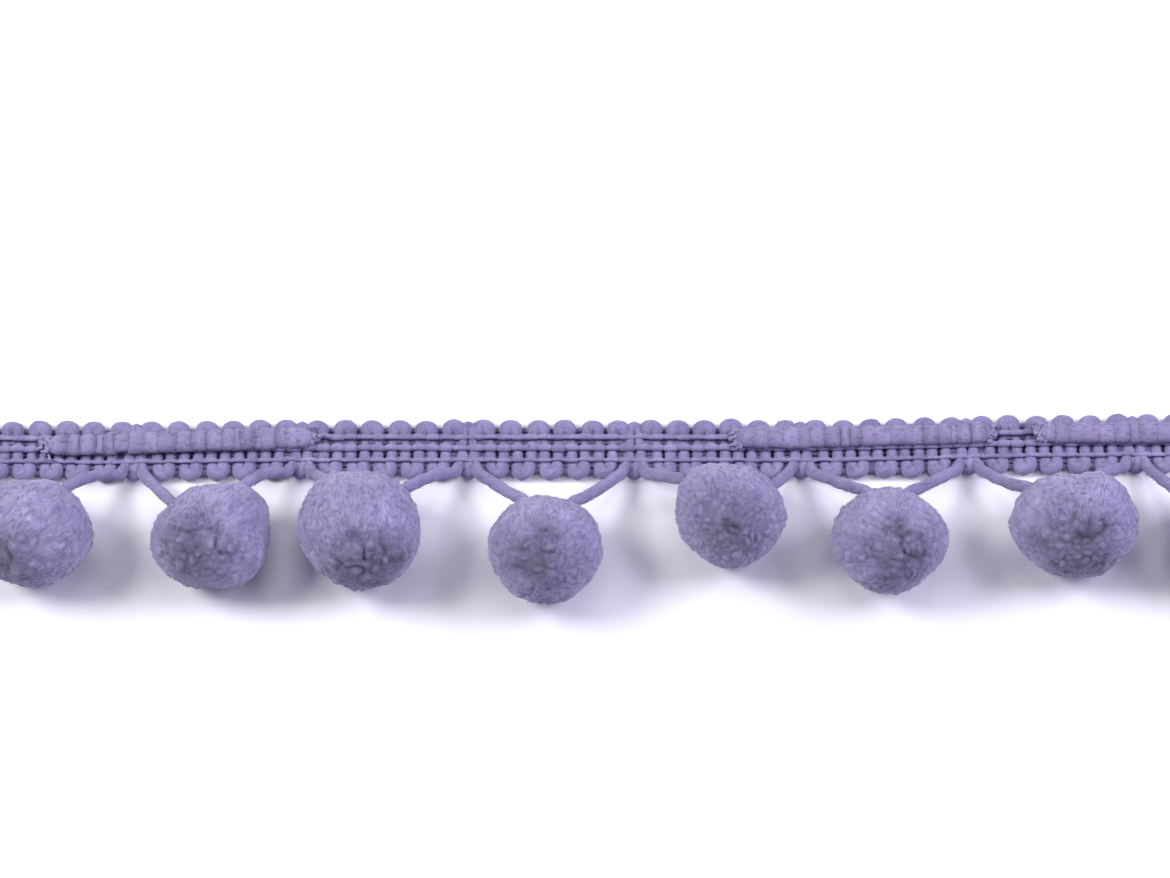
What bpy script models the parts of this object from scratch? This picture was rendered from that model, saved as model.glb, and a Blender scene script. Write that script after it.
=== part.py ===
"""Pompom fringe trim: a woven braid heading with eight yarn pompoms below it.

The trim lies straight and flat on its back. +X runs along the heading, +Y points from the pompoms
to the heading's top edge, and +Z is up. The origin is the centre of the trim on the surface.
"""
import math

import bmesh
import bpy
from mathutils import Vector

MM = 0.001

# Heading: a braid whose weft turns in round bumps along both edges (millimetres).
HALF_LENGTH = 70.0
HEADING_Y = 7.15
HEADING_WIDTH = 6.5
POMPOM_PITCH = 17.0
ENTRY_COUNT = 9
BUMPS_PER_PITCH = 6
FIRST_BUMP = 1.74
BUMP_PITCH = 2.77
NOTCH_DEPTH = 0.55
QUARTERS = 4
END_MARGIN = 0.1

# Pompoms stand on a small flat spot; the cord goes into each at the height of its tie.
FLAT_DEPTH = 0.25
POMPOM_SEGMENTS = 18
POMPOM_LATITUDES = (-55, -35, -15, 5, 25, 45, 65)

# Hanger cord: one loop to a pompom, seen as a left and a right leg.
CORD_RADIUS = 0.6
CORD_POINTS = 6
CORD_HEIGHT = 0.95
CORD_SIDE_STEP = 1.15
CORD_LEAD = 1.3
GAP = 0.3

# Thick soft yarn laid along the top of the braid.
LAID_Y = 7.65
LAID_WIDTH = 2.1
LAID_BOTTOM = 1.9
LAID_HEIGHT = 1.0
LAID_STEP = 1.42
LAID_TAPER = 3.0
LAID_BLUNT = 0.6
LAID_WAIST = 0.1

# The heading wanders a little across its length: position along it, shift across it.
DRIFT = (
    # x, shift
    (-70.0, -0.05),
    (-57.0, -0.25),
    (-46.0, -0.20),
    (-36.0, 0.00),
    (18.0, 0.00),
    (30.0, 0.25),
    (38.0, 0.50),
    (50.0, 0.60),
    (70.0, 0.60),
)

# Half of the braid's section, from the middle of its back over the edge to the middle of its face.
SECTION = (
    # share of half width, height
    (0.86, 0.00),
    (1.00, 0.45),
    (0.98, 0.95),
    (0.80, 1.35),
    (0.40, 1.55),
)

# Half of the laid yarn's section, from under it over its side to its top.
LAID_SECTION = (
    # share of half width, share of height
    (0.60, 0.00),
    (1.00, 0.45),
    (0.55, 1.00),
)

# Each pompom: its centre, its half height, and its radius towards eight compass points.
POMPOMS = (
    # x, y, half_height, (e, ne, n, nw, w, sw, s, se)
    (-59.9, -3.80, 5.7, (6.1, 5.9, 5.6, 6.1, 6.0, 5.8, 5.4, 5.5)),
    (-42.2, -3.80, 5.5, (6.1, 6.5, 5.2, 5.0, 6.1, 6.1, 5.6, 6.2)),
    (-27.4, -3.55, 5.9, (6.3, 6.4, 6.3, 6.7, 6.3, 5.9, 6.0, 6.4)),
    (-8.9, -5.30, 5.6, (6.0, 5.7, 5.4, 5.8, 6.0, 5.7, 5.8, 5.6)),
    (9.4, -1.55, 5.4, (5.9, 5.5, 5.1, 6.0, 5.4, 5.2, 5.7, 5.6)),
    (25.4, -4.40, 5.6, (6.1, 5.4, 5.5, 5.7, 6.1, 5.6, 5.6, 5.3)),
    (43.8, -2.75, 5.5, (6.8, 6.6, 5.0, 6.0, 6.4, 5.7, 5.3, 5.9)),
    (59.6, -3.25, 5.6, (6.1, 5.8, 5.4, 5.6, 6.2, 5.8, 5.6, 5.7)),
)

# Where the two legs of each hanger go into the pompom, as compass angles from +X.
HANGERS = (
    # left angle, right angle
    (128, 58),
    (139, 60),
    (124, 44),
    (112, 62),
    (141, 38),
    (112, 68),
    (139, 64),
    (140, 50),
)

# Stretches of the laid yarn: where each starts and ends.
LAID_YARNS = (
    # start, end
    (-59.5, -32.8),
    (10.6, 36.4),
    (41.6, 69.5),
)


def clear_scene():
    """Remove every object of the open file."""
    for item in list(bpy.data.objects):
        bpy.data.objects.remove(item, do_unlink=True)


def yarn_material(name, colour, roughness):
    """Plain matte yarn of one colour."""
    material = bpy.data.materials.new(name)
    material.use_nodes = True
    shader = material.node_tree.nodes["Principled BSDF"]
    shader.inputs["Base Color"].default_value = (*colour, 1.0)
    shader.inputs["Roughness"].default_value = roughness
    shader.inputs["Metallic"].default_value = 0.0
    return material


def interpolate(rows, x):
    """Value at x of a two-column table, along straight lines between its rows."""
    for (x_a, value_a), (x_b, value_b) in zip(rows, rows[1:]):
        if x <= x_b:
            share = max(0.0, (x - x_a) / (x_b - x_a))
            return value_a + (value_b - value_a) * share
    return rows[-1][1]


def bump_centres():
    """Centres of the top-edge bumps; a wider gap is left where each hanger cord comes through."""
    centres = []
    for entry in range(-1, ENTRY_COUNT + 1):
        start = (entry - (ENTRY_COUNT - 1) / 2) * POMPOM_PITCH + FIRST_BUMP
        for bump in range(BUMPS_PER_PITCH):
            centres.append(start + bump * BUMP_PITCH)
    return centres


def heading_stations():
    """Positions along the heading with their phase in the bump pattern, cut square at both ends."""
    stations = []
    centres = bump_centres()
    for left, right in zip(centres, centres[1:]):
        for quarter in range(QUARTERS):
            phase = quarter / QUARTERS
            stations.append((left + (right - left) * phase, phase))
    inside = [row for row in stations if abs(row[0]) < HALF_LENGTH - END_MARGIN]
    return [(-HALF_LENGTH, inside[0][1]), *inside, (HALF_LENGTH, inside[-1][1])]


def notch(phase):
    """How far the edge draws in: none at a bump's crown, full depth between two bumps."""
    offset = min(phase % 1.0, 1.0 - phase % 1.0) * 2.0
    return NOTCH_DEPTH * (1.0 - math.sqrt(max(0.0, 1.0 - offset * offset)))


def heading_ring(x, phase):
    """One closed section of the heading, counterclockwise seen from +X."""
    middle = HEADING_Y + interpolate(DRIFT, x)
    top = middle + HEADING_WIDTH / 2 - notch(phase)
    bottom = middle - HEADING_WIDTH / 2 + notch(phase + 0.5)
    upper = [(middle + (top - middle) * share, height) for share, height in SECTION]
    lower = [(middle + (bottom - middle) * share, height) for share, height in SECTION]
    return [Vector((x, y, z)) * MM for y, z in upper + lower[::-1]]


def solid_from_rings(name, rings, material, closed_ends=True):
    """Closed body lofted through rings of equal length; its ends are flat faces or single points."""
    mesh = bpy.data.meshes.new(name)
    work = bmesh.new()
    loops = [[work.verts.new(point) for point in ring] for ring in rings]
    for ring_a, ring_b in zip(loops, loops[1:]):
        if len(ring_a) == 1 or len(ring_b) == 1:
            join_to_point(work, ring_a, ring_b)
            continue
        for index in range(len(ring_a)):
            after = (index + 1) % len(ring_a)
            work.faces.new((ring_a[index], ring_a[after], ring_b[after], ring_b[index]))
    if closed_ends:
        work.faces.new(loops[0])
        work.faces.new(loops[-1])
    bmesh.ops.recalc_face_normals(work, faces=work.faces)
    work.to_mesh(mesh)
    work.free()
    mesh.materials.append(material)
    mesh.shade_smooth()
    mesh.set_sharp_from_angle(angle=math.radians(60))
    body = bpy.data.objects.new(name, mesh)
    bpy.context.scene.collection.objects.link(body)
    return body


def join_to_point(work, ring_a, ring_b):
    """Fan of triangles between a ring and the single point before or after it."""
    point, ring = (ring_a[0], ring_b) if len(ring_a) == 1 else (ring_b[0], ring_a)
    for index in range(len(ring)):
        work.faces.new((point, ring[index], ring[(index + 1) % len(ring)]))


def build_heading(material):
    """The woven braid as one flat sheet with its scalloped edges."""
    rings = [heading_ring(x, phase) for x, phase in heading_stations()]
    return solid_from_rings("heading", rings, material)


def build_laid_yarn(number, start, end, material):
    """A stretch of thick yarn on the braid: puffed between the weft turns, tapered at its ends."""
    steps = max(2, round((end - start) / LAID_STEP))
    rings = []
    for step in range(steps + 1):
        x = start + (end - start) * step / steps
        reach = min(1.0, (min(x - start, end - x) + LAID_BLUNT) / LAID_TAPER)
        size = math.sqrt(reach) * (1.0 - LAID_WAIST * (step % 2))
        y = LAID_Y + interpolate(DRIFT, x)
        side = [(LAID_WIDTH / 2 * size * across, LAID_HEIGHT * size * up) for across, up in LAID_SECTION]
        section = [(y + across, LAID_BOTTOM + up) for across, up in side]
        section += [(y - across, LAID_BOTTOM + up) for across, up in side[::-1]]
        rings.append([Vector((x, across, height)) * MM for across, height in section])
    return solid_from_rings(f"laid_yarn_{number}", rings, material)


def pompom_radius(radii, angle):
    """Outline radius at an angle in degrees, eased between the eight compass radii."""
    place = (angle % 360.0) / 45.0
    index = int(place)
    blend = (1.0 - math.cos(math.pi * (place - index))) / 2.0
    return radii[index % 8] * (1.0 - blend) + radii[(index + 1) % 8] * blend


def pompom_ring(row, latitude):
    """Ring of points of a pompom at one latitude, in degrees."""
    x, y, half_height, radii = row
    across = math.cos(math.radians(latitude))
    z = half_height - FLAT_DEPTH + half_height * math.sin(math.radians(latitude))
    ring = []
    for segment in range(POMPOM_SEGMENTS):
        angle = 360.0 * segment / POMPOM_SEGMENTS
        radius = pompom_radius(radii, angle) * across
        turn = math.radians(angle)
        ring.append(Vector((x + radius * math.cos(turn), y + radius * math.sin(turn), z)) * MM)
    return ring


def build_pompom(number, row, material):
    """An uneven yarn ball that stands on a small flat spot."""
    x, y, half_height, _ = row
    flat_latitude = -math.degrees(math.asin((half_height - FLAT_DEPTH) / half_height))
    rings = [[Vector((x, y, 0.0)) * MM]]
    rings += [pompom_ring(row, latitude) for latitude in (flat_latitude, *POMPOM_LATITUDES)]
    rings.append([Vector((x, y, 2 * half_height - FLAT_DEPTH)) * MM])
    return solid_from_rings(f"pompom_{number}", rings, material, closed_ends=False)


def bezier(points, share):
    """Point of a cubic curve through its four control points."""
    a, b, c, d = points
    rest = 1.0 - share
    return a * rest**3 + b * (3 * rest**2 * share) + c * (3 * rest * share**2) + d * share**3


def build_hanger_leg(name, leaves_x, row, angle, material):
    """One leg of a hanger cord, from the heading's lower edge to the side of a pompom."""
    x, y, half_height, radii = row
    edge = HEADING_Y + interpolate(DRIFT, leaves_x) - HEADING_WIDTH / 2
    start = Vector((leaves_x, edge - GAP, CORD_HEIGHT))
    turn = math.radians(angle)
    outward = Vector((math.cos(turn), math.sin(turn), 0.0))
    tie_height = half_height - FLAT_DEPTH
    end = Vector((x, y, tie_height)) + outward * (pompom_radius(radii, angle) + GAP)
    control = (start, start + Vector((0.0, -CORD_LEAD, 0.2)), end + outward * CORD_LEAD, end)
    curve = bpy.data.curves.new(name, "CURVE")
    curve.dimensions = "3D"
    curve.bevel_depth = CORD_RADIUS * MM
    curve.bevel_resolution = 2
    curve.use_fill_caps = True
    curve.materials.append(material)
    spline = curve.splines.new("POLY")
    spline.points.add(CORD_POINTS - 1)
    for index, point in enumerate(spline.points):
        place = bezier(control, index / (CORD_POINTS - 1)) * MM
        point.co = (*place, 1.0)
    leg = bpy.data.objects.new(name, curve)
    bpy.context.scene.collection.objects.link(leg)
    return leg


def main():
    """Build every piece of the trim."""
    clear_scene()
    braid = yarn_material("braid_yarn", (0.26, 0.22, 0.44), 0.85)
    wool = yarn_material("pompom_yarn", (0.30, 0.25, 0.47), 0.95)
    cord = yarn_material("cord_yarn", (0.27, 0.23, 0.45), 0.85)
    build_heading(braid)
    for number, (start, end) in enumerate(LAID_YARNS, 1):
        build_laid_yarn(number, start, end, wool)
    for number, (row, angles) in enumerate(zip(POMPOMS, HANGERS), 1):
        build_pompom(number, row, wool)
        entry = (number - 1 - (ENTRY_COUNT - 1) / 2) * POMPOM_PITCH
        left_x = entry + CORD_SIDE_STEP
        right_x = entry + POMPOM_PITCH - CORD_SIDE_STEP
        build_hanger_leg(f"hanger_{number}_left", left_x, row, angles[0], cord)
        build_hanger_leg(f"hanger_{number}_right", right_x, row, angles[1], cord)


main()
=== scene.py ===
import math
from itertools import product

import bmesh
import bpy
import numpy as np
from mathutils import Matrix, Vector
from mathutils.bvhtree import BVHTree


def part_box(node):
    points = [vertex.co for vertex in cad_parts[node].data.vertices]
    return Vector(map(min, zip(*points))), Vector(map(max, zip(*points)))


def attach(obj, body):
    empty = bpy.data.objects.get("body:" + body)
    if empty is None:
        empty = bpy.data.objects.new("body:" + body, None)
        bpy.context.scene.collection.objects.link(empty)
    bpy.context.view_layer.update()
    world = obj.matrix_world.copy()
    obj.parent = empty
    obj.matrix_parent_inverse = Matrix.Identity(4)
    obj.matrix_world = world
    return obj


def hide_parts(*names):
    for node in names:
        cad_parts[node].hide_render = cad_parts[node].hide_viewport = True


# A straight length of pompom fringe on a pale table: braid, laid yarn, hanger cord and pompoms.
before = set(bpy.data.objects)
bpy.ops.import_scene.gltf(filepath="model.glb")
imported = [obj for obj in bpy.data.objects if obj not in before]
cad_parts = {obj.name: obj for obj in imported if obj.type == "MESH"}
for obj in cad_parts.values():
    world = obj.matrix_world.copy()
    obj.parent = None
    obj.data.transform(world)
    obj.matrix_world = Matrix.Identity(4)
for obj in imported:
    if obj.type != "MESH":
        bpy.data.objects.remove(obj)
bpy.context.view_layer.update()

# Lengths below are millimetres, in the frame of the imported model.
MM = 0.001

# No point of a yarn lies lower than this, so that none dips into the table.
LOWEST = 0.02

# The braid, as in part.py.
HALF_LENGTH = 70.0
HEADING_WIDTH = 6.5
POMPOM_PITCH = 17.0
ENTRY_COUNT = 9
BUMPS_PER_PITCH = 6
FIRST_BUMP = 1.74
BUMP_PITCH = 2.77
END_MARGIN = 0.5
LINE_REACH = 0.8 * BUMP_PITCH

# Weft: one soft yarn that runs up and down, plump where it turns at an edge.
LEG_HALF = 0.69
TURN_HALF = 0.50
TURN_RADIUS = 0.71
TURN_RISE = 0.26
TURN_LEAN = 0.078
WEFT_DEPTH = 0.88
NARROW_HALF = 0.28
LOWER_EDGE = 0.03
TURN_SAMPLES = 11
LEG_SAMPLES = 17
TILT = 0.13
WEFT_SIDES = 14
WEFT_PLIES = 2
WEFT_GROOVE = 0.04
WEFT_LAY = 7.0
WEFT_FIBRES = 4200

# How far the weft strays: an upper turn's height and place, a leg's place, a lower turn's place and height.
WEFT_WANDER = (0.05, 0.05, 0.03, 0.05, 0.05)

# How a leg of the weft bends, in shares of its way up; a gap is wide where the cord comes through.
LEG_EASE = 0.3
WIDE_EASE = 0.75
UPPER_BEND = 0.75
TILT_REACH = 0.35
WIDE_GAP = 1.05 * BUMP_PITCH

# How the weft rises and thins on its way across the heading, from its lower to its upper edge.
LEG_PROFILE = (
    # from the middle, height, radius
    (-2.64, 0.72, 0.71),
    (-2.25, 0.76, 0.72),
    (-1.90, 0.76, 0.70),
    (-1.58, 0.72, 0.63),
    (-1.25, 0.72, 0.50),
    (-0.75, 0.84, 0.56),
    (-0.05, 0.72, 0.50),
    (0.50, 0.40, 0.44),
    (1.12, 0.50, 0.44),
    (1.50, 0.48, 0.44),
    (1.80, 0.58, 0.56),
    (2.08, 0.70, 0.70),
    (2.54, 0.72, 0.71),
)

# Warp chains on the face, each stitch over one leg, and the floats that close the back.
FACE_CHAINS = (
    # from the middle, radius, height, stitch, shade
    (1.20, 0.30, 1.04, "leg", 1.06),
    (-0.02, 0.39, 1.18, "leg", 1.06),
    (-1.38, 0.25, 1.24, "leg", 1.06),
)
# The floats at the back are painted darker than the face chains, and the outermost two, in the notches
# between the bumps, darkest: painted shade.
BACK_CHAINS = (
    # from the middle, radius, height, stitch, shade
    (2.26, 0.34, 0.35, "bump", 0.78),
    (1.62, 0.35, 0.36, "bump", 0.95),
    (0.97, 0.35, 0.36, "bump", 0.95),
    (0.32, 0.35, 0.36, "bump", 0.95),
    (-0.33, 0.35, 0.36, "bump", 0.95),
    (-0.98, 0.35, 0.36, "bump", 0.95),
    (-1.63, 0.35, 0.36, "bump", 0.95),
    (-2.26, 0.32, 0.33, "bump", 0.70),
)
CHAIN_ARCH = 0.15
CHAIN_DEPTH = 0.9
CHAIN_ROUNDNESS = 0.6
CHAIN_WAIST = 0.66
CHAIN_WANDER = 0.045
CHAIN_UNEVEN = 0.09
CHAIN_TONE = 0.07
CHAIN_FIBRES = 700

# Hanger cord: a soft cord that runs up through the braid and back between every two pompoms.
CORD_RADIUS = 0.61
CORD_SIDE_STEP = 1.25
CORD_ACROSS = -2.95
CORD_HEIGHT = 1.75
CORD_SINK = 1.4
CORD_POINTS = 6
ROUTE_STEP = 0.18
CORD_SIDES = 15
CORD_PLIES = 3
CORD_GROOVE = 0.10
CORD_LAY = 5.5
CORD_FIBRES = 260

# The braid presses the cord to a share of its width, and lets go between these distances below its middle.
CORD_PRESSED = 0.80
CORD_FREE = (1.7, 2.6)

# Where the cord goes into each pompom, as compass angles from +X, and how far each leg hangs down.
HANGERS = (
    # left angle, left sag, right angle, right sag
    (128, 0.3, 58, -0.8),
    (139, 0.1, 60, -0.8),
    (124, 0.0, 44, -0.5),
    (112, 0.2, 62, 0.4),
    (141, 0.0, 38, 0.1),
    (112, 0.1, 68, 0.1),
    (139, 0.5, 64, -0.1),
    (140, 0.3, 50, 0.2),
)

# Which way the cut ends of each pompom's yarn face, and how far their middle is sunk in, from 0 to 1.
CUT_FACES = (
    # compass angle, elevation, hollow
    (229, 23, 0.8),
    (248, 50, 0.7),
    (279, 23, 0.6),
    (256, 51, 1.0),
    (270, 59, 0.3),
    (279, 50, 0.5),
    (270, 41, 0.6),
    (275, 44, 0.5),
)

# The run of the cord inside the braid, from the leg on its left to the leg on its right.
CARRIER_ROUTE = (
    # from the entry, from the middle, height
    (-0.85, -2.10, 1.25),
    (-0.62, -1.40, 0.90),
    (-0.42, 0.00, 0.80),
    (-0.30, 1.60, 0.78),
    (-0.06, 2.48, 0.80),
    (0.34, 2.48, 0.80),
    (0.56, 1.60, 0.78),
    (0.68, 0.00, 0.80),
    (0.88, -1.40, 0.90),
    (1.05, -2.10, 1.25),
)

# Laid yarn: soft roving with pinches about as far apart as the legs of the weft.
LAID_STEP = 1.42
LAID_SAMPLES = 16
LAID_SIDE = 1.12
LAID_TOP = 0.68
LAID_HEIGHT = 1.85
LAID_SIDES = 24
LAID_FIBRES = 1500
LAID_LINES = (
    # from the middle of the heading at its left end, and at its right end
    (0.25, 0.90),
    (0.85, 1.05),
    (0.85, 0.68),
)

# Both ends of a laid yarn taper over this length from a blunt tip, and lie lower.
LAID_TAPER = 1.0
LAID_BLUNT = 0.25
LAID_END_DROP = 0.25

# Puffs: how square they are, how deep the pinches between them are, and how much they differ.
PUFF_SQUARENESS = 0.4
PUFF_LIMIT = 40
PINCH_DEPTH = 0.60
PINCH_LEAST = 0.12
PUFF_SWELL = 0.04
PUFF_LIFT = 0.05
PUFF_TONE = 1.03
PUFF_TONE_SPREAD = 0.06

# Width, thickness and shade of the roving at the bottom of a full pinch, in shares of a puff's; the darker
# shade there is painted shade in the crease.
PINCHED_WIDTH = 0.80
PINCHED_TOP = 0.62
PINCH_PAINTED_SHADE = 0.58

# Tufts at the ends of the roving: spread of their roots, droop and spread of their run, and bend.
END_TUFTS = 34
END_POINTS = 7
END_SIDES = 8
END_ROOTS = (0.30, 0.40, 0.12)
END_DROOP = -0.25
END_FAN = (0.3, 0.8, 0.2)
END_BEND = (0.14, 0.14, 0.056)
END_LENGTH = (0.25, 0.75)
END_RADIUS = (0.17, 0.30)
END_BLUNT = 0.04
END_TONE = 1.05
END_TONE_SPREAD = 0.06

# Loose fibres along a yarn.
FUZZ_SLANT = 0.5
FUZZ_LENGTH = (0.25, 0.8)
FUZZ_LIFT = 0.07
FUZZ_SINK = 0.03
FUZZ_THICKNESS = (0.03, 0.055)
FUZZ_TONE_SPREAD = 0.07

# One fibre: its share of thickness at half length, and the shift of its streaks from the next fibre's.
FIBRE_MIDDLE = 0.85
FIBRE_SHIFTS = (0.37, 0.11)

# A fibre that climbs more than this takes its sides from +X, and not from +Z.
STEEP = 0.8

# Pompoms: a creased core, and fine fibres lying over it.
BALL_LEVELS = 6
BALL_RADIUS = 6.0
FIT_DEGREE = 8
FIT_SAMPLES = 1500
FIT_CUTOFF = 1e-6
PILE_SINK = 0.05

# Tufts of cut yarn; behind the cut face they stand out by only a share of their height.
TUFTS = 430
TUFT_JITTER = 0.045
TUFT_HEIGHT = 0.13
TUFT_TONE = 0.07
TUFT_EDGE = 0.80
TUFT_SHIFT = 20.0
TUFTS_BEHIND = 0.50

# Angles from the middle of the cut face, in radians: its rim, its hollow, and where the combing starts.
CUT_RIM = (0.30, 1.20)
HOLLOW_ANGLE = 0.30
RING_ANGLE = 0.9

# Combed streaks are drawn out along their run; a face's two sides are worked out from one way for all.
STREAK_STRETCH = (1.0, 1.0, 0.30)
SIDEWAYS = (1.0, 0.0, 0.2)

# Creases run where one noise is near 0, and only where the lumps are high enough.
CREASE_WIDTH = (0.02, 0.28)
CREASE_LUMPS = (-0.2, 0.4)

# What each feature of the pile adds where it is full: to its height in mm, and to its shade. The darker
# tuft edges, creases, hollow and cut face are painted shade; clumps differ in tone at random.
PILE_FEATURES = {
    # feature: height, shade
    "streak": (0.08, 0.0),
    "lump": (0.15, 0.0),
    "clump": (0.11, 0.05),
    "edge": (-0.18, -0.13),
    "crease": (-0.24, -0.24),
    "cut": (0.0, -0.36),
    "hollow": (-0.22, -0.12),
}
PILE_TONE = 1.13
# Painted shade: the pile is painted darker where it lies low and lighter where it stands out.
PAINTED_SHADE_PER_HEIGHT = 0.24

# Fibres of the pile, and the loose ones that stand off it.
FIBRES = 5200
FIBRE_JITTER = 0.03
FIBRE_WAYS = 0.30
FIBRE_LENGTH = (0.5, 1.4)
FIBRE_THICKNESS = (0.035, 0.07)
FIBRE_SINK = 0.03
FIBRE_RISE = 0.02
FIBRE_TONE = 0.02
FIBRE_TONE_SPREAD = 0.04
CUT_LOOSE = 0.6
CUT_SHORT = 0.5
STRAY_SHARE = 0.09
STRAY_LIFT = (0.05, 0.28)
STRAY_MIDDLE = 0.4

# Slow, smooth changes over the yarns.
NOISES = {
    # name: size, cell in mm, shift in mm, seed
    "weft_side": (0.05, 3.5, 0.0, 11),
    "weft_radius": (0.05, 1.3, 0.0, 12),
    "weft_tone": (0.08, 2.2, 0.0, 13),
    "cord_tone": (0.06, 1.6, 0.0, 21),
    "cord_radius": (0.07, 1.1, 0.0, 22),
    "laid_phase": (0.45, 2.6, 0.0, 0),
    "laid_pinch": (0.55, 2.3, 0.0, 30),
    "laid_side": (0.08, 4.0, 0.0, 50),
    "tuft_bend": (0.06, 1.1, 0.0, 80),
    "pile_rim": (0.28, 2.5, 0.0, 0),
    "pile_hollow": (0.35, 1.2, 0.0, 120),
    "pile_streak": (1.0, 0.95, 0.0, 0),
    "pile_lump": (1.0, 2.6, 60.0, 40),
    "pile_clump": (1.0, 1.25, 30.0, 140),
    "pile_valley": (1.0, 2.3, 90.0, 60),
}
NOISE_CELLS = 24

# Random draws, and what each kind of piece adds to the seed.
SEED = 7301
SEEDS = {
    "weft": 1,
    "weft_fibres": 2,
    "chains_back": 8,
    "chains_face": 10,
    "cord_fibres": 30,
    "laid_yarn": 40,
    "tufts": 100,
    "pile": 200,
}

# Colours of the yarns, linear, with the stretch of their streaks.
YARNS = {
    # name: dark colour, light colour, streaks, relief, sheen
    "braid_yarn": ((0.165, 0.142, 0.275), (0.315, 0.275, 0.46), (0.5, 5.0, 5.0), 0.6, 0.15),
    "cord_yarn": ((0.165, 0.142, 0.275), (0.315, 0.275, 0.46), (0.6, 6.0, 6.0), 0.6, 0.15),
    "laid_yarn": ((0.18, 0.157, 0.295), (0.335, 0.293, 0.475), (0.5, 4.0, 4.0), 0.6, 0.2),
    "pompom_yarn": ((0.19, 0.165, 0.31), (0.335, 0.30, 0.47), (2.2, 2.2, 0.8), 0.5, 0.25),
}
STREAK_DETAIL = 4.0
STREAK_SHARE = 0.62
PATCHES_PER_METRE = 420.0
PATCH_DETAIL = 2.0
PATCH_SHARE = 0.45
DARK_AT = 0.30
LIGHT_AT = 0.72
YARN_ROUGHNESS = (0.82, 0.98)
SHEEN_ROUGHNESS = 0.6
YARN_SPECULAR = 0.25
RELIEF_DEPTH = 0.08

# Table, lights and surround.
FLOOR_HALF = 1500.0
FLOOR_COLOUR = (0.90, 0.90, 0.91)
FLOOR_ROUGHNESS = 0.9
LIGHTS = (
    # name, compass angle, elevation, distance, size, power in W, colour
    ("light_left", 171, 45, 420, 150, 1.24, (0.97, 1.0, 0.98)),
    ("light_right", 10, 43, 420, 190, 1.34, (0.86, 0.81, 1.0)),
    ("light_top", 90, 76, 450, 260, 0.50, (1.0, 1.0, 1.0)),
)
SURROUND_COLOUR = (0.68, 0.61, 1.0)
SURROUND_STRENGTH = 0.23

# Camera.
VIEW_ELEVATION = 68.0
VIEW_DISTANCE = 333.3
VIEW_TARGET = (-4.92, 8.60, 0.0)
VIEW_NEAREST = 10.0
LENS = 100.0
SENSOR = 36.0


def random_for(kind, number=0):
    """Random draws of their own for each piece."""
    return np.random.default_rng(SEED + SEEDS[kind] + number)


def smoothstep(low, high, value):
    """0 below low, 1 above high, eased between."""
    share = np.clip((np.asarray(value, float) - low) / (high - low), 0.0, 1.0)
    return share * share * (3.0 - 2.0 * share)


def up_to_one(low, share):
    """Low where share is 0, and 1 where it is 1."""
    return low + (1.0 - low) * share


def unit(vectors):
    """Vectors of length 1."""
    length = np.linalg.norm(vectors, axis=-1, keepdims=True)
    return vectors / np.maximum(length, 1e-9)


def direction(azimuth, elevation=0.0):
    """Unit vector at a compass angle from +X towards +Y and an elevation, in degrees."""
    turn, lift = math.radians(azimuth), math.radians(elevation)
    return np.array([math.cos(turn) * math.cos(lift), math.sin(turn) * math.cos(lift), math.sin(lift)])


def spread_directions(count):
    """Directions spread evenly over a ball along a spiral."""
    index = np.arange(count) + 0.5
    height = 1.0 - 2.0 * index / count
    turn = index * math.pi * (3.0 - math.sqrt(5.0))
    flat = np.sqrt(1.0 - height * height)
    return np.stack([flat * np.cos(turn), flat * np.sin(turn), height], 1)


def value_noise(points, cell, seed):
    """Smooth noise from -1 to 1 at each point, with one random value to a cell."""
    lattice = np.random.default_rng(SEED + seed).random([NOISE_CELLS] * 3)
    place = np.asarray(points, float) / cell
    base = np.floor(place).astype(int)
    share = place - base
    share = share * share * (3.0 - 2.0 * share)
    total = np.zeros(len(place))
    for corner in product((0, 1), repeat=3):
        index = (base + corner) % NOISE_CELLS
        weight = np.prod(np.where(corner, share, 1.0 - share), axis=1)
        total += lattice[index[:, 0], index[:, 1], index[:, 2]] * weight
    return total * 2.0 - 1.0


def noise(name, points, number=0):
    """The named noise at each point; each number gives another pattern."""
    size, cell, shift, seed = NOISES[name]
    return size * value_noise(points + shift, cell, seed + number)


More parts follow.
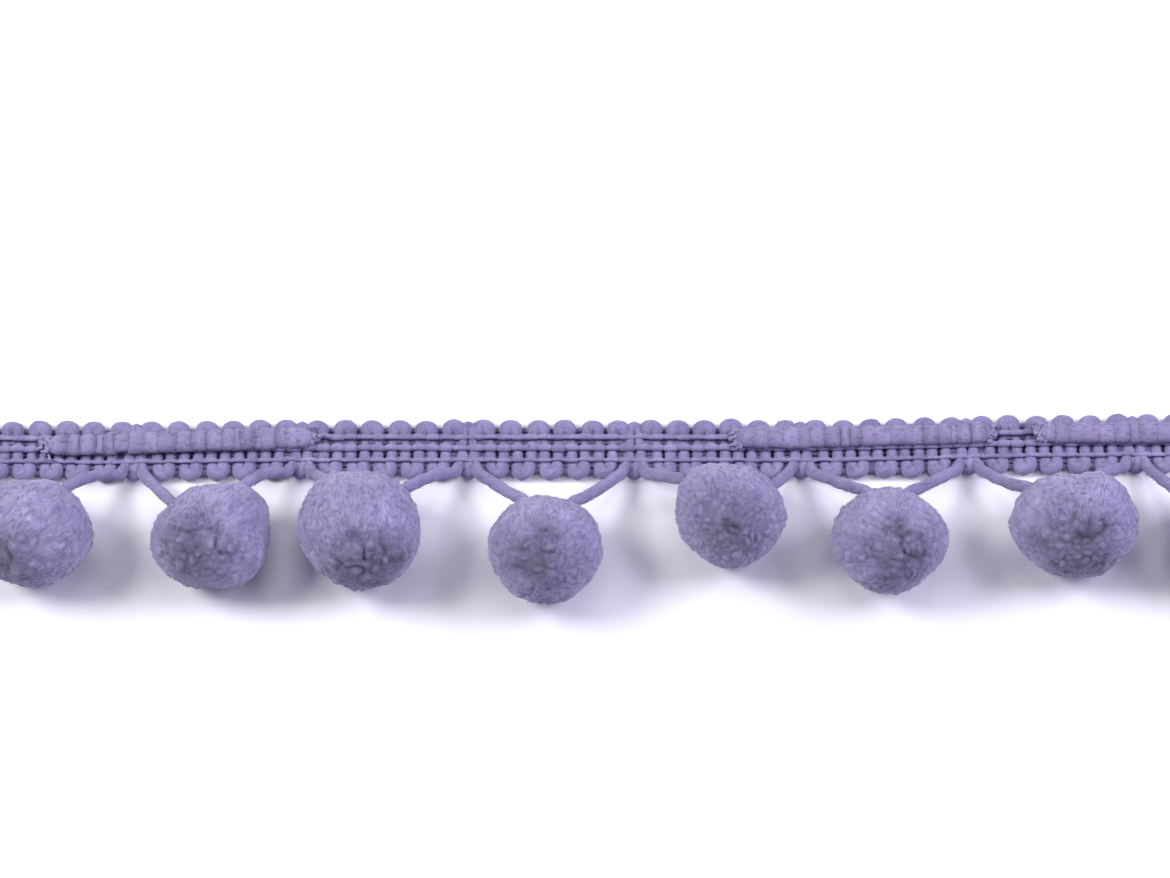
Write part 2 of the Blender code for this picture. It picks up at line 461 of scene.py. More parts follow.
class Strands:
    """Gathers the strands of one piece, then makes one mesh of them."""

    def __init__(self):
        self.points = []
        self.quads = []
        self.triangles = []
        self.space = []
        self.tone = []
        self.count = 0

    def add(self, points, quads, triangles, space, tone):
        """Points, faces, a coordinate along and across the strand, and a shade for each point."""
        self.points.append(points)
        self.quads.append(np.asarray(quads, int).reshape(-1, 4) + self.count)
        self.triangles.append(np.asarray(triangles, int).reshape(-1, 3) + self.count)
        self.space.append(space)
        self.tone.append(np.broadcast_to(tone, len(points)))
        self.count += len(points)

    def build(self, name, material, slot, *nodes):
        """One object of all strands, riding on the trim and standing for the named CAD nodes."""
        points = np.concatenate(self.points)
        points[:, 2] = np.maximum(points[:, 2], LOWEST)
        quads = np.concatenate(self.quads)
        triangles = np.concatenate(self.triangles)
        mesh = bpy.data.meshes.new(name)
        mesh.vertices.add(len(points))
        mesh.vertices.foreach_set("co", (points * MM).astype(np.float32).ravel())
        mesh.loops.add(quads.size + triangles.size)
        corners = np.concatenate([quads.ravel(), triangles.ravel()])
        mesh.loops.foreach_set("vertex_index", corners.astype(np.int32))
        mesh.polygons.add(len(quads) + len(triangles))
        quad_starts = np.arange(len(quads)) * 4
        triangle_starts = quads.size + np.arange(len(triangles)) * 3
        starts = np.concatenate([quad_starts, triangle_starts])
        mesh.polygons.foreach_set("loop_start", starts.astype(np.int32))
        mesh.update(calc_edges=True)
        space = mesh.attributes.new("yarn_space", "FLOAT_VECTOR", "POINT")
        space.data.foreach_set("vector", np.concatenate(self.space).astype(np.float32).ravel())
        tone = mesh.attributes.new("tone", "FLOAT", "POINT")
        tone.data.foreach_set("value", np.concatenate(self.tone).astype(np.float32))
        mesh.validate()
        mesh.shade_smooth()
        mesh.materials.append(material)
        piece = bpy.data.objects.new(name, mesh)
        bpy.context.scene.collection.objects.link(piece)
        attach(piece, "root")
        if nodes:
            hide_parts(*nodes)


def across_and_up(forward):
    """Unit vectors level across each run and square up from it."""
    across = unit(np.cross(forward, (0.0, 0.0, 1.0)))
    return across, np.cross(across, forward)


def add_tube(strands, path, radius, sides, depth=1.0, plies=0, groove=0.0, lay=1.0, tone=1.0):
    """Closed tube round a path; depth flattens it, plies wind round it once to a lay."""
    path = np.asarray(path, float)
    radius = np.broadcast_to(np.asarray(radius, float), len(path))
    across, upward = across_and_up(unit(np.gradient(path, axis=0)))
    steps = np.linalg.norm(np.diff(path, axis=0), axis=1)
    along = np.concatenate([[0.0], np.cumsum(steps)])
    turn = np.arange(sides) * 2.0 * math.pi / sides
    wound = turn[None, :] - 2.0 * math.pi * along[:, None] / lay
    ring = radius[:, None] * np.ones(sides)
    if plies:
        ring = ring * (1.0 - groove * (1.0 - np.abs(np.cos(wound * plies / 2.0))))
    offset = across[:, None, :] * (ring * np.cos(turn))[..., None]
    depth = np.broadcast_to(depth, len(path))[:, None]
    offset += upward[:, None, :] * (ring * np.sin(turn) * depth)[..., None]
    points = (path[:, None, :] + offset).reshape(-1, 3)
    length = np.repeat(along, sides)
    space = np.stack([length, (ring * np.cos(wound)).ravel(), (ring * np.sin(wound)).ravel()], 1)
    rows = np.arange(len(path) - 1)[:, None] * sides
    here = np.arange(sides)
    there = (here + 1) % sides
    quads = np.stack([rows + here, rows + there, rows + sides + there, rows + sides + here], -1)
    first, last = len(points), len(points) + 1
    end_row = (len(path) - 1) * sides
    start_fan = np.stack([np.full(sides, first), there, here], 1)
    end_fan = np.stack([np.full(sides, last), end_row + here, end_row + there], 1)
    points = np.concatenate([points, path[:1], path[-1:]])
    space = np.concatenate([space, [[0.0, 0.0, 0.0], [along[-1], 0.0, 0.0]]])
    if np.ndim(tone):
        tone = np.concatenate([np.repeat(tone, sides), [tone[0], tone[-1]]])
    strands.add(points, quads, np.concatenate([start_fan, end_fan]), space, tone)


def add_fibres(strands, roots, middles, tips, thickness, tone):
    """Fine bent fibres with three sides that run out to a point, each with its own thickness and shade."""
    count = len(roots)
    run = unit(tips - roots)
    helper = np.where(np.abs(run[:, 2:3]) > STEEP, (1.0, 0.0, 0.0), (0.0, 0.0, 1.0))
    side = unit(np.cross(run, helper))
    other = np.cross(side, run)
    rings = []
    for centre, share in ((roots, 1.0), (middles, FIBRE_MIDDLE)):
        for corner in range(3):
            angle = corner * 2.0 * math.pi / 3.0
            push = side * math.cos(angle) + other * math.sin(angle)
            rings.append(centre + push * thickness[:, None] * share / 2.0)
    points = np.stack([*rings, tips], 1)
    base = np.arange(count)[:, None, None] * 7
    quads = base + np.array([[0, 1, 4, 3], [1, 2, 5, 4], [2, 0, 3, 5]])
    triangles = base + np.array([[3, 4, 6], [4, 5, 6], [5, 3, 6], [2, 1, 0]])
    length = np.linalg.norm(tips - roots, axis=1)[:, None] * (0, 0, 0, 0.5, 0.5, 0.5, 1.0)
    place = np.arange(count)[:, None] * np.ones(7)
    space = np.stack([length, place * FIBRE_SHIFTS[0], place * FIBRE_SHIFTS[1]], -1).reshape(-1, 3)
    shade = np.repeat(tone, 7)
    strands.add(points.reshape(-1, 3), quads.reshape(-1, 4), triangles.reshape(-1, 3), space, shade)


def add_fuzz(strands, path, radius, depth, count, rng):
    """Fine fibres that lie along a yarn and lift a little from it."""
    spot = rng.integers(2, len(path) - 2, count)
    forward = unit(np.gradient(path, axis=0))[spot]
    across, upward = across_and_up(forward)
    turn = rng.uniform(0.0, 2.0 * math.pi, count)[:, None]
    outward = across * np.cos(turn) + upward * np.sin(turn) * depth
    around = upward * np.cos(turn) - across * np.sin(turn)
    ways = rng.choice((-1.0, 1.0), count)[:, None]
    run = unit(forward * ways + around * rng.normal(0.0, FUZZ_SLANT, (count, 1)))
    reach = rng.uniform(*FUZZ_LENGTH, count)[:, None]
    lift = rng.uniform(0.0, FUZZ_LIFT, count)[:, None]
    roots = path[spot] + outward * (radius[spot][:, None] - FUZZ_SINK)
    middles = roots + run * reach * 0.5 + outward * (FUZZ_SINK + lift)
    tips = roots + run * reach + outward * lift
    shade = 1.0 + rng.normal(0.0, FUZZ_TONE_SPREAD, count)
    add_fibres(strands, roots, middles, tips, rng.uniform(*FUZZ_THICKNESS, count), shade)


def heading_line():
    """Middle of the heading at stations along it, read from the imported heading."""
    points = np.array([vertex.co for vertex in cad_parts["heading"].data.vertices]) / MM
    stations = np.arange(-HALF_LENGTH, HALF_LENGTH, BUMP_PITCH)
    middles = []
    for station in stations:
        near = points[np.abs(points[:, 0] - station) < LINE_REACH]
        middles.append((near[:, 1].min() + near[:, 1].max()) / 2.0)
    return stations, np.array(middles)


LINE = heading_line()


def middle_at(x):
    """Y of the heading's middle at x."""
    return np.interp(x, *LINE)


def entry_x(index):
    """Where the hanger cord comes down out of the braid, counted from 0 at the left end."""
    return (index - (ENTRY_COUNT - 1) / 2) * POMPOM_PITCH


def bump_centres():
    """Centres of the top-edge bumps that lie within the cut ends."""
    centres = []
    for index in range(-1, ENTRY_COUNT + 1):
        start = entry_x(index) + FIRST_BUMP
        centres += [start + bump * BUMP_PITCH for bump in range(BUMPS_PER_PITCH)]
    reach = HALF_LENGTH - END_MARGIN
    return [centre for centre in centres if abs(centre) + LEG_HALF < reach]


def weft_leg(low_x, straight_x, high_x, low, high, ease, tilt):
    """Points of one leg of the weft from its lower to its upper end."""
    share = np.linspace(0.0, 1.0, LEG_SAMPLES)
    x = straight_x + (low_x - straight_x) * (1.0 - smoothstep(0.0, ease, share))
    x += (high_x - straight_x) * smoothstep(UPPER_BEND, 1.0, share)
    tilts = tilt * (1.0 - smoothstep(0.0, TILT_REACH, share))
    return np.stack([x, low + (high - low) * share, tilts], 1)


def weft_turn(centre, half, base, rise, lean, tilt):
    """Points of the weft round one edge, from left to right."""
    angle = np.linspace(math.pi, 0.0, TURN_SAMPLES)[1:-1]
    x = centre + half * np.cos(angle) - lean * np.sin(angle)
    return np.stack([x, base + rise * np.sin(angle), tilt * np.cos(angle)], 1)


def weft_route(rng):
    """The weft from bump to bump as points of x, distance from the middle, and share of tilt."""
    centres = bump_centres()
    edge = HEADING_WIDTH / 2.0
    low_x = centres[0] - LEG_HALF
    low = TURN_RADIUS - edge
    ease = LEG_EASE
    route = []
    for centre, following in zip(centres, [*centres[1:], None]):
        high_off, top_off, leg_off, bottom_off, low_off = rng.normal(0.0, 1.0, 5) * WEFT_WANDER
        high = edge - TURN_RADIUS + high_off - TURN_RISE
        top = centre + top_off
        left_x = centre - LEG_HALF + leg_off
        route.append(weft_leg(low_x, left_x, top - TURN_HALF, low, high, ease, 1.0))
        route.append(weft_turn(top, TURN_HALF, high, TURN_RISE, 0.0, 0.0))
        if following is None:
            break
        wide = following - centre > WIDE_GAP
        half = NARROW_HALF if wide else TURN_HALF
        ease = WIDE_EASE if wide else LEG_EASE
        lean = 0.0 if wide else TURN_LEAN
        bottom = (centre + following) / 2.0 + bottom_off
        drop = min(half, TURN_RISE) + low_off
        low = TURN_RADIUS - edge - LOWER_EDGE + drop
        right = weft_leg(bottom - half, centre + LEG_HALF, top + TURN_HALF, low, high, ease, -1.0)
        route.append(right[::-1])
        route.append(weft_turn(bottom, half, low, -drop, lean, 1.0))
        low_x = bottom + half
    return np.concatenate(route)


def build_weft(material):
    """The serpentine weft, whose turns are the bumps along both edges."""
    x, side, tilt = weft_route(random_for("weft")).T
    across, height, radius = np.array(LEG_PROFILE).T
    z = np.interp(side, across, height) + TILT * tilt
    path = np.stack([x, middle_at(x) + side, z], 1)
    thick = np.interp(side, across, radius) * (1.0 + noise("weft_radius", path))
    path[:, 1] += noise("weft_side", path)
    tone = 1.0 + noise("weft_tone", path)
    twist = {"plies": WEFT_PLIES, "groove": WEFT_GROOVE, "lay": WEFT_LAY}
    strands = Strands()
    add_tube(strands, path, thick, WEFT_SIDES, depth=WEFT_DEPTH, tone=tone, **twist)
    add_fuzz(strands, path, thick, WEFT_DEPTH, WEFT_FIBRES, random_for("weft_fibres"))
    strands.build("heading_weft", material, "braid_yarn", "heading")


def stitch_edges(kind):
    """Ends of the stitches of one warp chain: two legs of weft to a stitch, or one."""
    centres = bump_centres()
    between = [(a + b) / 2.0 for a, b in zip(centres, centres[1:])]
    first = centres[0] - BUMP_PITCH / 2.0
    last = centres[-1] + BUMP_PITCH / 2.0
    edges = [first, *between, last]
    if kind == "leg":
        edges = sorted(edges + centres)
    return edges


def build_chains(face, chains, material, sides, steps, fibres):
    """Warp chains along one face of the braid, one stitch after another."""
    rng = random_for(f"chains_{face}")
    strands = Strands()
    samples = np.arange(steps) / steps
    swell = np.sin(math.pi * samples) ** CHAIN_ROUNDNESS
    for across, radius, height, kind, shade in chains:
        path = []
        radii = []
        shades = []
        edges = stitch_edges(kind)
        for left, right in zip(edges, edges[1:]):
            x = left + (right - left) * samples
            y = middle_at(x) + across + rng.normal(0.0, CHAIN_WANDER) * swell
            path += list(np.stack([x, y, height + CHAIN_ARCH * swell], 1))
            thick = radius * (1.0 + rng.normal(0.0, CHAIN_UNEVEN))
            radii += list(thick * up_to_one(CHAIN_WAIST, swell))
            # Each stitch takes its chain's shade with a random spread; for the floats at the back that
            # shade is painted shade.
            shades += [shade * (1.0 + rng.normal(0.0, CHAIN_TONE))] * steps
        add_tube(strands, path, radii, sides, depth=CHAIN_DEPTH, tone=np.array(shades))
        if fibres:
            add_fuzz(strands, np.array(path), np.array(radii), CHAIN_DEPTH, fibres, rng)
    strands.build(f"heading_chains_{face}", material, "braid_yarn")


def smooth_route(points):
    """A smooth curve through the points, sampled evenly."""
    points = np.asarray(points, float)
    padded = np.concatenate([[2 * points[0] - points[1]], points, [2 * points[-1] - points[-2]]])
    route = []
    for index in range(1, len(padded) - 2):
        before, here, there, beyond = padded[index - 1:index + 3]
        steps = max(2, int(np.linalg.norm(there - here) / ROUTE_STEP))
        share = (np.arange(steps) / steps)[:, None]
        cubic = 3.0 * here - before - 3.0 * there + beyond
        square = 2.0 * before - 5.0 * here + 4.0 * there - beyond
        slope = there - before
        route.append(here + 0.5 * share * (slope + share * (square + share * cubic)))
    return np.concatenate([*route, points[-1:]])


def ball_surface(node):
    """Centre of a packed pompom and a smooth function from directions to its radius."""
    low, high = (np.array(corner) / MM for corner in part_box(node))
    centre = (low + high) / 2.0
    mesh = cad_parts[node].data
    corners = [vertex.co / MM for vertex in mesh.vertices]
    tree = BVHTree.FromPolygons(corners, [list(face.vertices) for face in mesh.polygons])
    directions = spread_directions(FIT_SAMPLES)
    hits = [tree.ray_cast(Vector(centre), Vector(way))[3] for way in directions]
    powers = [p for p in product(range(FIT_DEGREE + 1), repeat=3) if sum(p) <= FIT_DEGREE]

    def terms(ways):
        return np.stack([np.prod(ways**power, axis=1) for power in np.array(powers)], 1)

    weights = np.linalg.lstsq(terms(directions), np.array(hits), rcond=FIT_CUTOFF)[0]
    return centre, lambda ways: terms(ways) @ weights


SURFACES = [ball_surface(f"pompom_{number}") for number in range(1, len(HANGERS) + 1)]


def leg_route(leaves_x, pompom, angle, sag):
    """Route of one hanger leg, from over the heading's lower bumps to just inside a pompom."""
    centre, surface = SURFACES[pompom]
    start = np.array([leaves_x, middle_at(leaves_x) + CORD_ACROSS, CORD_HEIGHT])
    outward = direction(angle)
    rim = centre + outward * surface(outward[None, :])[0]
    low = np.array([0.0, -sag, 0.0])
    near = start + (rim - start) / 3.0 + low
    far = rim - (rim - start) / 3.0 + low
    share = np.linspace(0.0, 1.0, CORD_POINTS)[:, None]
    rest = 1.0 - share
    first_half = start * rest**3 + near * 3 * rest**2 * share
    last_half = far * 3 * rest * share**2 + rim * share**3
    return [*(first_half + last_half), rim - outward * CORD_SINK]


def build_hanger_cord(material):
    """The carrier cord at every entry: up through the braid, round, and down to the next pompom."""
    twist = {"plies": CORD_PLIES, "groove": CORD_GROOVE, "lay": CORD_LAY}
    strands = Strands()
    for index in range(ENTRY_COUNT):
        entry = entry_x(index)
        inside = [(entry + x, middle_at(entry + x) + y, z) for x, y, z in CARRIER_ROUTE]
        left = []
        right = []
        if index > 0:
            left = leg_route(entry - CORD_SIDE_STEP, index - 1, *HANGERS[index - 1][2:])[::-1]
        if index < len(HANGERS):
            right = leg_route(entry + CORD_SIDE_STEP, index, *HANGERS[index][:2])
        path = smooth_route([*left, *inside, *right])
        free = smoothstep(*CORD_FREE, middle_at(path[:, 0]) - path[:, 1])
        radius = CORD_RADIUS * up_to_one(CORD_PRESSED, free) * (1.0 + noise("cord_radius", path))
        tone = 1.0 + noise("cord_tone", path)
        add_tube(strands, path, radius, CORD_SIDES, tone=tone, **twist)
        add_fuzz(strands, path, radius, 1.0, CORD_FIBRES, random_for("cord_fibres", index))
    nodes = [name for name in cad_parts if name.startswith("hanger_")]
    strands.build("hanger_cord", material, "cord_yarn", *nodes)


def laid_puffs(line, start, number):
    """Which puff each point of a laid yarn is in, and how full it is there, from 0 to 1."""
    phase = (line[:, 0] - start) / LAID_STEP + noise("laid_phase", line, number)
    pinch = 1.0 - np.abs(np.sin(math.pi * phase)) ** PUFF_SQUARENESS
    depth = np.clip(PINCH_DEPTH + noise("laid_pinch", line, number), PINCH_LEAST, 1.0)
    return np.clip(phase, 0, PUFF_LIMIT - 1).astype(int), 1.0 - depth * pinch


def build_laid_yarn(number, material):
    """Thick roving: a soft rope with pinches, loose fibres, and tufts at its ends."""
    node = f"laid_yarn_{number}"
    low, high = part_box(node)
    start, end = low.x / MM, high.x / MM
    rng = random_for("laid_yarn", number)
    x = np.arange(start, end, LAID_STEP / LAID_SAMPLES)
    line = np.stack([x, x * 0.0, x * 0.0], 1)
    index, puff = laid_puffs(line, start, number)
    swell, lift, shade = rng.normal(0.0, 1.0, (3, PUFF_LIMIT))[:, index]
    from_end = np.minimum(x - start, end - x) + LAID_BLUNT
    size = np.sqrt(np.clip(from_end / LAID_TAPER, 0.0, 1.0))
    radius = LAID_SIDE * size * (1.0 + PUFF_SWELL * swell * puff) * up_to_one(PINCHED_WIDTH, puff)
    across = np.interp(x, (start, end), LAID_LINES[number - 1]) + noise("laid_side", line, number)
    height = LAID_HEIGHT - LAID_END_DROP * (1.0 - size) + PUFF_LIFT * lift * puff
    path = np.stack([x, middle_at(x) + across, height], 1)
    # Darker down into each pinch: painted shade in the crease, over a random tone for each puff.
    tone = (PUFF_TONE + PUFF_TONE_SPREAD * shade) * up_to_one(PINCH_PAINTED_SHADE, puff)
    depth = LAID_TOP * up_to_one(PINCHED_TOP, puff)
    strands = Strands()
    add_tube(strands, path, radius, LAID_SIDES, depth=depth, tone=tone)
    add_fuzz(strands, path, radius, LAID_TOP, LAID_FIBRES, rng)
    for tail, way in ((2, -1.0), (len(path) - 3, 1.0)):
        add_tufts(strands, path[tail], way, rng)
    strands.build(f"{node}_roving", material, "laid_yarn", node)


def add_tufts(strands, origin, way, rng):
    """Short loose tufts fanning out of the cut end of a roving."""
    share = np.linspace(0.0, 1.0, END_POINTS)[:, None]
    for _ in range(END_TUFTS):
        root = origin + rng.normal(0.0, 1.0, 3) * END_ROOTS
        fan = unit(np.array([way, 0.0, END_DROOP]) + rng.normal(0.0, 1.0, 3) * END_FAN)
        bend = rng.normal(0.0, 1.0, 3) * END_BEND
        path = root + fan * share * rng.uniform(*END_LENGTH) + bend * share * share
        radius = rng.uniform(*END_RADIUS) * np.sqrt(1.0 + END_BLUNT - share[:, 0] ** 2)
        add_tube(strands, path, radius, END_SIDES, tone=END_TONE + rng.normal(0.0, END_TONE_SPREAD))


def unit_ball():
    """Directions and triangles of an even ball."""
    work = bmesh.new()
    bmesh.ops.create_icosphere(work, subdivisions=BALL_LEVELS, radius=1.0)
    work.verts.ensure_lookup_table()
    directions = np.array([vertex.co for vertex in work.verts])
    triangles = np.array([[vertex.index for vertex in face.verts] for face in work.faces])
    work.free()
    return unit(directions), triangles


BALL = unit_ball()


class Relief:
    """Surface of one pompom: combed streaks at the back, and tufts and creases where it is cut."""

    def __init__(self, number):
        rng = random_for("tufts", number)
        azimuth, elevation, hollow = CUT_FACES[number - 1]
        self.number = number
        self.centre, self.surface = SURFACES[number - 1]
        self.hollow = hollow
        self.face = direction(azimuth, elevation)
        self.side = unit(np.cross(self.face, SIDEWAYS))
        self.other = np.cross(self.face, self.side)
        self.tufts = unit(spread_directions(TUFTS) + rng.normal(0.0, TUFT_JITTER, (TUFTS, 3)))
        self.tuft_height = rng.normal(0.0, TUFT_HEIGHT, TUFTS)
        self.tuft_tone = rng.normal(0.0, TUFT_TONE, TUFTS)

    def combed(self, ways):
        """Place on the ball in mm, two numbers round the cut face and one away from it, and the angle."""
        polar = np.arccos(np.clip(ways @ self.face, -1.0, 1.0))
        around = np.arctan2(ways @ self.other, ways @ self.side)
        ring = BALL_RADIUS * np.minimum(1.0, polar / RING_ANGLE)
        return np.stack([ring * np.cos(around), ring * np.sin(around), BALL_RADIUS * polar], 1), polar

    def nearest_tuft(self, ways):
        """The tuft at each place, and 0 to 1 from its edge to its crown."""
        place = ways * BALL_RADIUS
        bend = [noise("tuft_bend", place + TUFT_SHIFT * axis, axis) for axis in (1, 2, 3)]
        near = unit(ways + np.stack(bend, 1)) @ self.tufts.T
        best = np.argpartition(-near, 2, axis=1)[:, :2]
        value = np.take_along_axis(near, best, 1)
        first = np.argmax(value, axis=1)
        owner = np.take_along_axis(best, first[:, None], 1)[:, 0]
        angle = np.arccos(np.clip(value, -1.0, 1.0))
        return owner, smoothstep(0.0, TUFT_EDGE, np.abs(angle[:, 0] - angle[:, 1]) * BALL_RADIUS)

    def height(self, ways):
        """How far the pile stands out, in mm, its tone with painted shade, and how much it is cut face."""
        combed, polar = self.combed(ways)
        place = ways * BALL_RADIUS
        cut = 1.0 - smoothstep(*CUT_RIM, polar + noise("pile_rim", place, self.number))
        sunk = polar / HOLLOW_ANGLE + noise("pile_hollow", place, self.number)
        lump = noise("pile_lump", place, self.number)
        valley = 1.0 - smoothstep(*CREASE_WIDTH, np.abs(noise("pile_valley", place, self.number)))
        owner, crown = self.nearest_tuft(ways)
        share = up_to_one(TUFTS_BEHIND, cut)
        features = {
            "streak": noise("pile_streak", combed * STREAK_STRETCH, self.number),
            "lump": lump,
            "clump": noise("pile_clump", place, self.number),
            "edge": (1.0 - crown) * share,
            "crease": valley * cut * smoothstep(*CREASE_LUMPS, lump),
            "cut": cut,
            "hollow": self.hollow * np.exp(-(sunk**2)),
        }
        height = self.tuft_height[owner] * share * crown
        tone = PILE_TONE + self.tuft_tone[owner] * share * crown
        # The darker tuft edges, creases, hollow and cut face are painted shade.
        for name, amount in features.items():
            height = height + PILE_FEATURES[name][0] * amount
            tone = tone + PILE_FEATURES[name][1] * amount
        # Lower pile is painted darker, higher pile lighter: painted shade.
        return height, tone + PAINTED_SHADE_PER_HEIGHT * height, cut

    def points(self, ways, height, lift):
        """Points at a lift over the surface of the pile."""
        reach = self.surface(ways) - PILE_SINK + height + lift
        return self.centre + ways * reach[:, None]


def build_pompom(number, material):
    """A pompom: its creased core, then the fibres combed towards its cut face."""
    relief = Relief(number)
    strands = Strands()
    add_core(strands, relief)
    add_pile(strands, relief, random_for("pile", number))
    node = f"pompom_{number}"
    strands.build(f"{node}_pile", material, "pompom_yarn", node)


def add_core(strands, relief):
    """The body of the pile as one closed ball."""
    directions, triangles = BALL
    height, tone, _ = relief.height(directions)
    points = relief.points(directions, height, 0.0)
    strands.add(points, [], triangles, relief.combed(directions)[0], tone)


def add_pile(strands, relief, rng):
    """Fine fibres: along the surface round the back and sides, loose where the pile is cut."""
    start = unit(spread_directions(FIBRES) + rng.normal(0.0, FIBRE_JITTER, (FIBRES, 3)))
    height, tone, cut = relief.height(start)
    flow = relief.face - start * (start @ relief.face)[:, None]
    flow = unit(flow) * (1.0 - CUT_LOOSE * cut)[:, None] + rng.normal(0.0, FIBRE_WAYS, (FIBRES, 3))
    flow = unit(flow - start * np.sum(flow * start, axis=1)[:, None])
    turn = rng.uniform(*FIBRE_LENGTH, FIBRES)[:, None] * (1.0 - CUT_SHORT * cut)[:, None] / BALL_RADIUS
    middle = unit(start + flow * turn / 2.0)
    end = unit(start + flow * turn)
    stray = np.where(rng.random(FIBRES) < STRAY_SHARE, rng.uniform(*STRAY_LIFT, FIBRES), 0.0)
    middle_lift = rng.uniform(0.0, FIBRE_RISE, FIBRES) + stray * STRAY_MIDDLE
    tip_lift = rng.uniform(-FIBRE_SINK, FIBRE_RISE, FIBRES) + stray
    roots = relief.points(start, height, -FIBRE_SINK)
    middles = relief.points(middle, relief.height(middle)[0], middle_lift)
    tips = relief.points(end, relief.height(end)[0], tip_lift)
    shade = tone + rng.normal(FIBRE_TONE, FIBRE_TONE_SPREAD, FIBRES)
    add_fibres(strands, roots, middles, tips, rng.uniform(*FIBRE_THICKNESS, FIBRES), shade)


def add_noise(nodes, scale, detail):
    """A noise texture node."""
    texture = nodes.new("ShaderNodeTexNoise")
    texture.inputs["Scale"].default_value = scale
    texture.inputs["Detail"].default_value = detail
    return texture


def add_math(nodes, operation, factor):
    """A maths node that multiplies its first input by a factor."""
    node = nodes.new("ShaderNodeMath")
    node.operation = operation
    node.inputs[1].default_value = factor
    return node


def add_streaks(nodes, link, streaks):
    """Noise drawn out along the strand."""
    strand = nodes.new("ShaderNodeAttribute")
    strand.attribute_name = "yarn_space"
    stretch = nodes.new("ShaderNodeMapping")
    stretch.inputs["Scale"].default_value = streaks
    link(strand.outputs["Vector"], stretch.inputs["Vector"])
    fibres = add_noise(nodes, 1.0, STREAK_DETAIL)
    link(stretch.outputs["Vector"], fibres.inputs["Vector"])
    return fibres


def add_colour(nodes, link, fibres, dark, light):
    """Colour from the streaks and broad patches, times the tone that each point holds, painted shade
    included.
    """
    place = nodes.new("ShaderNodeTexCoord")
    patches = add_noise(nodes, PATCHES_PER_METRE, PATCH_DETAIL)
    link(place.outputs["Object"], patches.inputs["Vector"])
    blend = add_math(nodes, "MULTIPLY_ADD", PATCH_SHARE)
    link(patches.outputs["Fac"], blend.inputs[0])
    share = add_math(nodes, "MULTIPLY", STREAK_SHARE)
    link(fibres.outputs["Fac"], share.inputs[0])
    link(share.outputs["Value"], blend.inputs[2])
    ramp = nodes.new("ShaderNodeValToRGB")
    for stop, position, colour in zip(ramp.color_ramp.elements, (DARK_AT, LIGHT_AT), (dark, light)):
        stop.position = position
        stop.color = (*colour, 1.0)
    link(blend.outputs["Value"], ramp.inputs["Fac"])
    tone = nodes.new("ShaderNodeAttribute")
    tone.attribute_name = "tone"
    shade = nodes.new("ShaderNodeVectorMath")
    shade.operation = "SCALE"
    link(ramp.outputs["Color"], shade.inputs[0])
    link(tone.outputs["Fac"], shade.inputs["Scale"])
    return shade


def yarn_material(name, dark, light, streaks, relief_strength, sheen):
    """Soft matte yarn: streaks along the strand, broad patches of shade, and fine fibre relief."""
    material = bpy.data.materials.new(name)
    material.use_nodes = True
    nodes = material.node_tree.nodes
    link = material.node_tree.links.new
    shader = nodes["Principled BSDF"]
    fibres = add_streaks(nodes, link, streaks)
    shade = add_colour(nodes, link, fibres, dark, light)
    link(shade.outputs["Vector"], shader.inputs["Base Color"])
    rough = nodes.new("ShaderNodeMapRange")
    rough.inputs["To Min"].default_value = YARN_ROUGHNESS[0]
    rough.inputs["To Max"].default_value = YARN_ROUGHNESS[1]
    link(fibres.outputs["Fac"], rough.inputs["Value"])
    link(rough.outputs["Result"], shader.inputs["Roughness"])
    relief = nodes.new("ShaderNodeBump")
    relief.inputs["Strength"].default_value = relief_strength
    relief.inputs["Distance"].default_value = RELIEF_DEPTH * MM
    link(fibres.outputs["Fac"], relief.inputs["Height"])
    link(relief.outputs["Normal"], shader.inputs["Normal"])
    shader.inputs["Sheen Weight"].default_value = sheen
    shader.inputs["Sheen Roughness"].default_value = SHEEN_ROUGHNESS
    shader.inputs["Specular IOR Level"].default_value = YARN_SPECULAR
    return material


def build_floor():
    """A plain pale table under the trim."""
    half = FLOOR_HALF * MM
    corners = [(-half, -half, 0.0), (half, -half, 0.0), (half, half, 0.0), (-half, half, 0.0)]
    mesh = bpy.data.meshes.new("floor")
    mesh.from_pydata(corners, [], [(0, 1, 2, 3)])
    floor = bpy.data.objects.new("floor", mesh)
    bpy.context.scene.collection.objects.link(floor)
    material = bpy.data.materials.new("floor_paper")
    material.use_nodes = True
    shader = material.node_tree.nodes["Principled BSDF"]
    shader.inputs["Base Color"].default_value = (*FLOOR_COLOUR, 1.0)
    shader.inputs["Roughness"].default_value = FLOOR_ROUGHNESS
    mesh.materials.append(material)


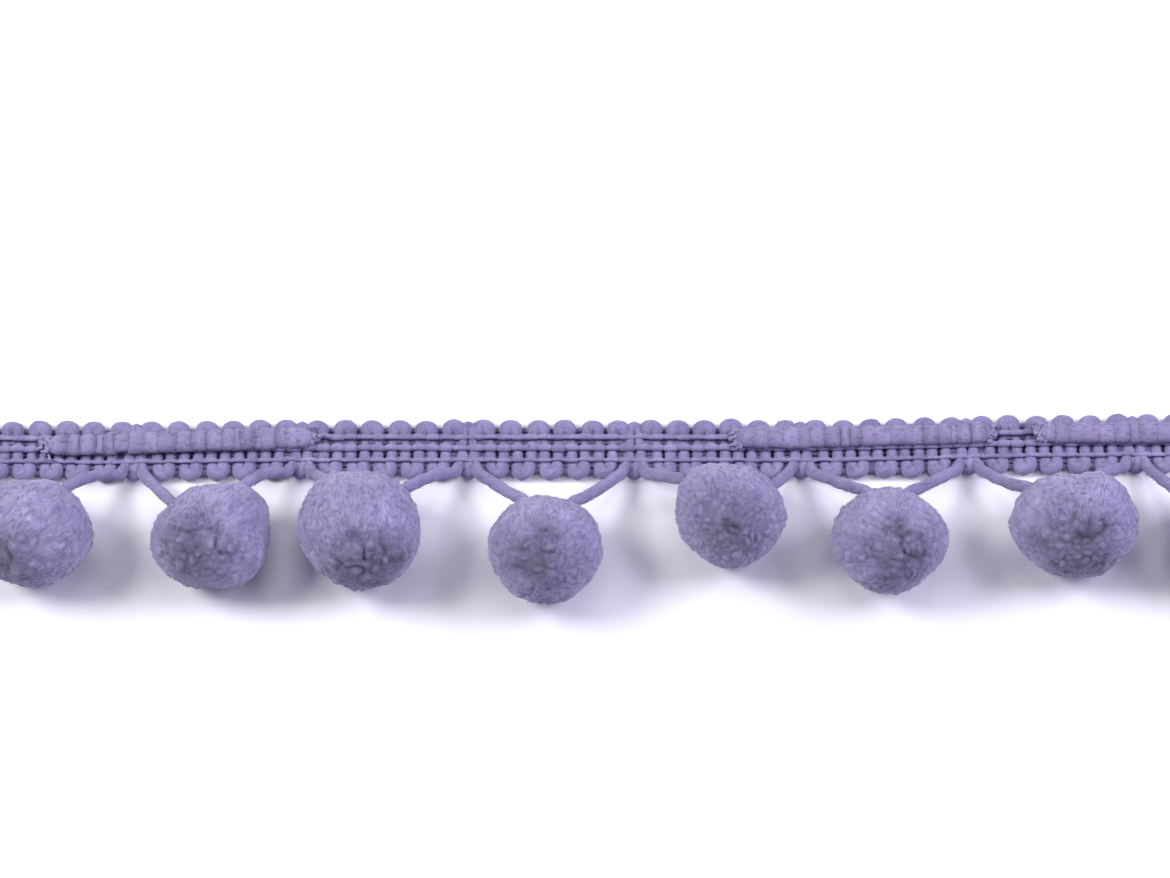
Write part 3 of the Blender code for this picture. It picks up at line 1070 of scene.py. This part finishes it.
def add_light(name, azimuth, elevation, distance, size, power, colour):
    """Soft square light aimed at the middle of the trim."""
    data = bpy.data.lights.new(name, "AREA")
    data.shape = "SQUARE"
    data.size = size * MM
    data.energy = power
    data.color = colour
    light = bpy.data.objects.new(name, data)
    way = Vector(direction(azimuth, elevation))
    light.location = way * distance * MM
    light.rotation_euler = way.to_track_quat("Z", "Y").to_euler()
    bpy.context.scene.collection.objects.link(light)


def build_light():
    """Two soft side lights, a broad weak one above, and a pale surround."""
    for row in LIGHTS:
        add_light(*row)
    world = bpy.data.worlds.new("surround")
    world.use_nodes = True
    background = world.node_tree.nodes["Background"]
    background.inputs["Color"].default_value = (*SURROUND_COLOUR, 1.0)
    background.inputs["Strength"].default_value = SURROUND_STRENGTH
    bpy.context.scene.world = world
    bpy.context.scene.view_settings.view_transform = "Standard"


def build_camera():
    """Long lens, looking down at the trim from the side that the pompoms are on."""
    data = bpy.data.cameras.new("camera")
    data.lens = LENS
    data.sensor_width = SENSOR
    data.clip_start = VIEW_NEAREST * MM
    camera = bpy.data.objects.new("camera", data)
    lift = math.radians(VIEW_ELEVATION)
    back = Vector((0.0, -math.cos(lift), math.sin(lift)))
    camera.location = (Vector(VIEW_TARGET) + back * VIEW_DISTANCE) * MM
    camera.rotation_euler = back.to_track_quat("Z", "Y").to_euler()
    bpy.context.scene.collection.objects.link(camera)
    bpy.context.scene.camera = camera


def main():
    """Camera, light and floor, then every piece of the trim."""
    build_camera()
    build_light()
    build_floor()
    yarns = {name: yarn_material(name, *look) for name, look in YARNS.items()}
    build_weft(yarns["braid_yarn"])
    build_chains("face", FACE_CHAINS, yarns["braid_yarn"], sides=10, steps=8, fibres=CHAIN_FIBRES)
    build_chains("back", BACK_CHAINS, yarns["braid_yarn"], sides=8, steps=6, fibres=0)
    build_hanger_cord(yarns["cord_yarn"])
    for number in range(1, len(LAID_LINES) + 1):
        build_laid_yarn(number, yarns["laid_yarn"])
    for number in range(1, len(HANGERS) + 1):
        build_pompom(number, yarns["pompom_yarn"])


main()
